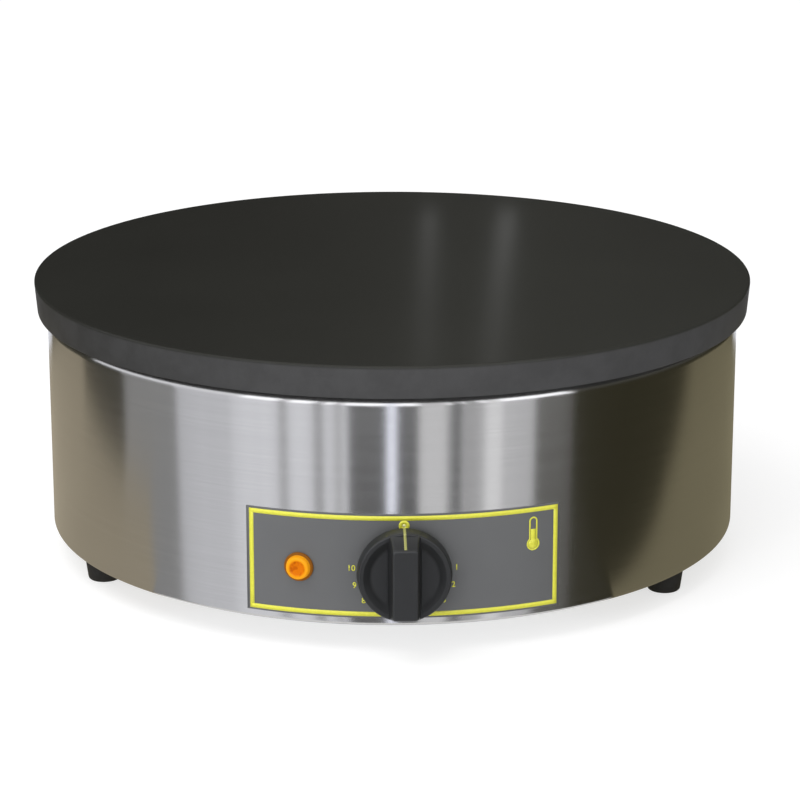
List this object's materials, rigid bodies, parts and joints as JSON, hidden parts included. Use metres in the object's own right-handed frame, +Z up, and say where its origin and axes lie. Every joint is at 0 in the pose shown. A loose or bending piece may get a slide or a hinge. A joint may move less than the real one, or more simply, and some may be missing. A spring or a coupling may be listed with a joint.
{
  "type": "electric crepe maker",
  "caption": "Round countertop crepe maker: a flat cast-iron plate over a brushed steel drum on rubber feet, with a turning control knob and pilot lamp.",
  "frame": {"origin": "on the table under the middle of the machine, z = 0 at the feet's soles", "axes": "+Z up, front with the knob towards -Y, +X to the right seen from the front"},
  "size_m": [0.3997, 0.4366, 0.155],
  "materials": {
    "enamelled_iron": "satin black enamel",
    "stainless": "brushed round the band",
    "panel_grey": "satin printed sheet",
    "coated_sheet": "aluminised sheet steel",
    "black_rubber": "matte",
    "zinc_steel": "zinc plated",
    "element_sheath": "heat tinted",
    "mineral_wool": "fibrous",
    "thermostat_case": "moulded phenolic",
    "brass": "bright",
    "copper": "drawn copper",
    "black_plastic": "moulded, fine satin",
    "amber_lens": "clear amber",
    "white_plastic": "moulded",
    "white_ceramic": "unglazed",
    "wire_brown": "silicone sleeve",
    "wire_white": "silicone sleeve",
    "wire_blue": "silicone sleeve",
    "wire_green": "silicone sleeve",
    "gland_plastic": "moulded polyamide"
  },
  "bodies": {
    "body": {"cooking_plate": "enamelled_iron", "body_band": "stainless", "dial_panel": "panel_grey", "base_plate": "coated_sheet", "foot_rear": "black_rubber", "foot_front_left": "black_rubber", "foot_front_right": "black_rubber", "foot_screws": "zinc_steel", "foot_nuts": "zinc_steel", "tie_rods": "zinc_steel", "clamp_nuts": "zinc_steel", "pan_nuts": "zinc_steel", "base_washers": "zinc_steel", "base_nuts": "zinc_steel", "outer_element": "element_sheath", "inner_element": "element_sheath", "element_pins": "zinc_steel", "element_clamp": "coated_sheet", "insulation_pad": "mineral_wool", "insulation_pan": "coated_sheet", "thermostat_bracket": "zinc_steel", "thermostat_housing": "thermostat_case", "thermostat_screws": "zinc_steel", "thermostat_tabs": "brass", "sensing_bulb": "copper", "bulb_saddles": "zinc_steel", "capillary": "copper", "lamp_lens": "amber_lens", "lamp_body": "white_plastic", "lamp_nut": "white_plastic", "lamp_tabs": "brass", "terminal_block": "white_ceramic", "block_inserts": "brass", "block_screws": "zinc_steel", "earth_stud": "zinc_steel", "earth_lug": "brass", "earth_nut": "zinc_steel", "wire_live": "wire_brown", "wire_heat": "wire_white", "wire_link": "wire_white", "wire_neutral": "wire_blue", "wire_pilot": "wire_white", "wire_lamp_return": "wire_blue", "wire_earth": "wire_green", "gland_body": "gland_plastic", "gland_locknut": "gland_plastic", "gland_seal": "black_rubber", "gland_dome_nut": "gland_plastic"},
    "knob": {"control_knob": "black_plastic", "thermostat_shaft": "zinc_steel"}
  },
  "joints": [
    {"name": "knob_turn", "type": "hinge", "parent": "body", "child": "knob", "pos_m": [0, -0.193, 0.0452], "axis": [0, 1, 0], "range_deg": [0, 270]}
  ]
}
